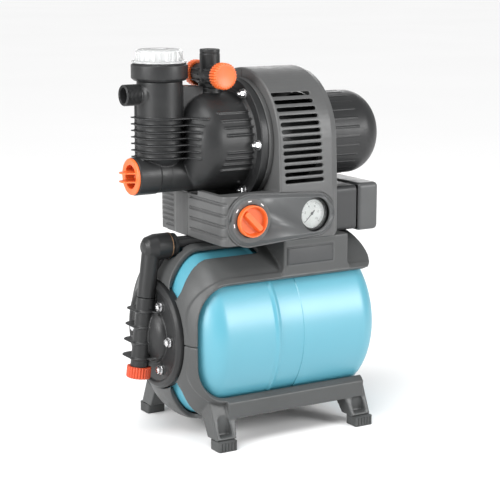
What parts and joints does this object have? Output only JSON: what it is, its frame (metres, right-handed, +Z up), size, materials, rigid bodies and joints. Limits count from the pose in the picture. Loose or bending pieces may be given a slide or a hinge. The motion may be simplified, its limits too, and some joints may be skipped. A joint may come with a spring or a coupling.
{
  "type": "shallow well jet pump",
  "caption": "Self-priming jet pump with filter tower, console and horizontal pressure tank on a moulded saddle frame.",
  "frame": {"origin": "on the ground under the centre of the whole set", "axes": "+X along the motor shaft from the pump to the fan, -Y the front with the control panel, +Z up"},
  "size_m": [0.464, 0.286, 0.621],
  "materials": {
    "tank_blue": "glossy enamel",
    "frame_grey": "fine moulded grain",
    "console_grey": "fine moulded grain",
    "panel_grey": "satin",
    "pump_black": "satin",
    "orange": "satin",
    "clear": "clear moulding",
    "steel": "zinc plated",
    "iron": "machined",
    "copper": "varnished windings",
    "rubber": "matte",
    "white": "matte"
  },
  "bodies": {
    "pump_set": {"tank_shell": "tank_blue", "tank_bag": "rubber", "air_valve": "steel", "frame_upper": "frame_grey", "frame_lower": "frame_grey", "foot_pad_front_left": "rubber", "foot_pad_front_right": "rubber", "foot_pad_rear_left": "rubber", "foot_pad_rear_right": "rubber", "tank_flange": "pump_black", "flange_stud_ring": "steel", "riser_pipe": "pump_black", "console_front": "console_grey", "console_rear": "console_grey", "pressure_manifold": "pump_black", "control_panel": "panel_grey", "knob_bezel": "console_grey", "badge_plate": "panel_grey", "rotary_switch": "pump_black", "gauge_case": "pump_black", "gauge_dial": "white", "gauge_lens": "clear", "motor_housing": "iron", "motor_stator": "copper", "motor_bracket": "iron", "bearing_front": "steel", "motor_end_plate": "iron", "bearing_rear": "steel", "fan_cover": "pump_black", "terminal_box": "panel_grey", "terminal_box_lid": "panel_grey", "run_capacitor": "white", "cable_gland": "pump_black", "pump_housing": "pump_black", "filter_collar": "pump_black", "filter_basket": "white", "ejector_nozzle": "white", "venturi_tube": "white", "diffuser": "white", "outlet_tee": "pump_black"},
    "knob": {"selector_knob": "orange"},
    "needle": {"gauge_needle": "pump_black"},
    "rotor": {"motor_shaft": "steel", "rotor_core": "iron", "cooling_fan": "pump_black", "impeller": "white", "shaft_seal": "rubber"},
    "filter_seal": {"filter_lid_seal": "rubber"},
    "filter_cover": {"filter_lid": "clear"},
    "front_cap_seal": {"outlet_cap_seal_front": "rubber"},
    "front_cap": {"outlet_cap_front": "orange"},
    "rear_cap_seal": {"outlet_cap_seal_rear": "rubber"},
    "rear_cap": {"outlet_cap_rear": "orange"},
    "drain_seal": {"drain_cap_seal": "rubber"},
    "drain_plug": {"drain_cap": "orange"},
    "ejector_seal": {"jet_plug_seal": "rubber"},
    "ejector_plug": {"jet_plug": "orange"},
    "dust_cap": {"air_valve_cap": "pump_black"},
    "check_valve": {"check_valve_poppet": "rubber"}
  },
  "joints": [
    {"name": "selector_turn", "type": "hinge", "parent": "pump_set", "child": "knob", "pos_m": [-0.069, -0.1208, 0.3605], "axis": [0, 1, 0], "range_deg": [-45, 135]},
    {"name": "gauge_needle_turn", "type": "hinge", "parent": "pump_set", "child": "needle", "pos_m": [0.0525, -0.1075, 0.3595], "axis": [0, 1, 0], "range_deg": [0, 270]},
    {"name": "rotor_spin", "type": "hinge", "parent": "pump_set", "child": "rotor", "pos_m": [0.011, 0, 0.4725], "axis": [1, 0, 0], "continuous": true},
    {"name": "filter_lid_lift", "type": "slide", "parent": "pump_set", "child": "filter_seal", "axis": [0, 0, 1], "range_m": [0, 0.01515]},
    {"name": "filter_lid_turn", "type": "hinge", "parent": "filter_seal", "child": "filter_cover", "pos_m": [-0.162, 0, 0.6], "axis": [0, 0, 1], "range_deg": [0, 1080]},
    {"name": "front_outlet_cap_lift", "type": "slide", "parent": "pump_set", "child": "front_cap_seal", "axis": [0, -1, 0], "range_m": [0, 0.01273]},
    {"name": "front_outlet_cap_turn", "type": "hinge", "parent": "front_cap_seal", "child": "front_cap", "pos_m": [-0.072, -0.0449, 0.578], "axis": [0, -1, 0], "range_deg": [0, 1080]},
    {"name": "rear_outlet_cap_lift", "type": "slide", "parent": "pump_set", "child": "rear_cap_seal", "axis": [0, 1, 0], "range_m": [0, 0.01273]},
    {"name": "rear_outlet_cap_turn", "type": "hinge", "parent": "rear_cap_seal", "child": "rear_cap", "pos_m": [-0.072, 0.0449, 0.578], "axis": [0, 1, 0], "range_deg": [0, 1080]},
    {"name": "drain_cap_lift", "type": "slide", "parent": "pump_set", "child": "drain_seal", "axis": [-0.1242, 0, -0.9923], "range_m": [0, 0.01363]},
    {"name": "drain_cap_turn", "type": "hinge", "parent": "drain_seal", "child": "drain_plug", "pos_m": [-0.2074, -0.003, 0.108], "axis": [-0.1242, 0, -0.9923], "range_deg": [0, 1080]},
    {"name": "jet_plug_lift", "type": "slide", "parent": "pump_set", "child": "ejector_seal", "axis": [-1, 0, 0], "range_m": [0, 0.01818]},
    {"name": "jet_plug_turn", "type": "hinge", "parent": "ejector_seal", "child": "ejector_plug", "pos_m": [-0.211, 0, 0.425], "axis": [-1, 0, 0], "range_deg": [0, 1080]},
    {"name": "air_valve_cap_pull", "type": "slide", "parent": "pump_set", "child": "dust_cap", "axis": [1, 0, 0], "range_m": [0, 0.02]},
    {"name": "check_valve_lift", "type": "slide", "parent": "pump_set", "child": "check_valve", "axis": [1, 0, 0], "range_m": [0, 0.004], "stiffness_N_per_m": 60, "springref_m": -0.002}
  ],
  "couplings": [
    {"joint": "filter_lid_lift", "follows": "filter_lid_turn", "m_per_rad": 0.00079577},
    {"joint": "front_outlet_cap_lift", "follows": "front_outlet_cap_turn", "m_per_rad": 0.00066845},
    {"joint": "rear_outlet_cap_lift", "follows": "rear_outlet_cap_turn", "m_per_rad": 0.00066845},
    {"joint": "drain_cap_lift", "follows": "drain_cap_turn", "m_per_rad": 0.0007162},
    {"joint": "jet_plug_lift", "follows": "jet_plug_turn", "m_per_rad": 0.00095493}
  ]
}
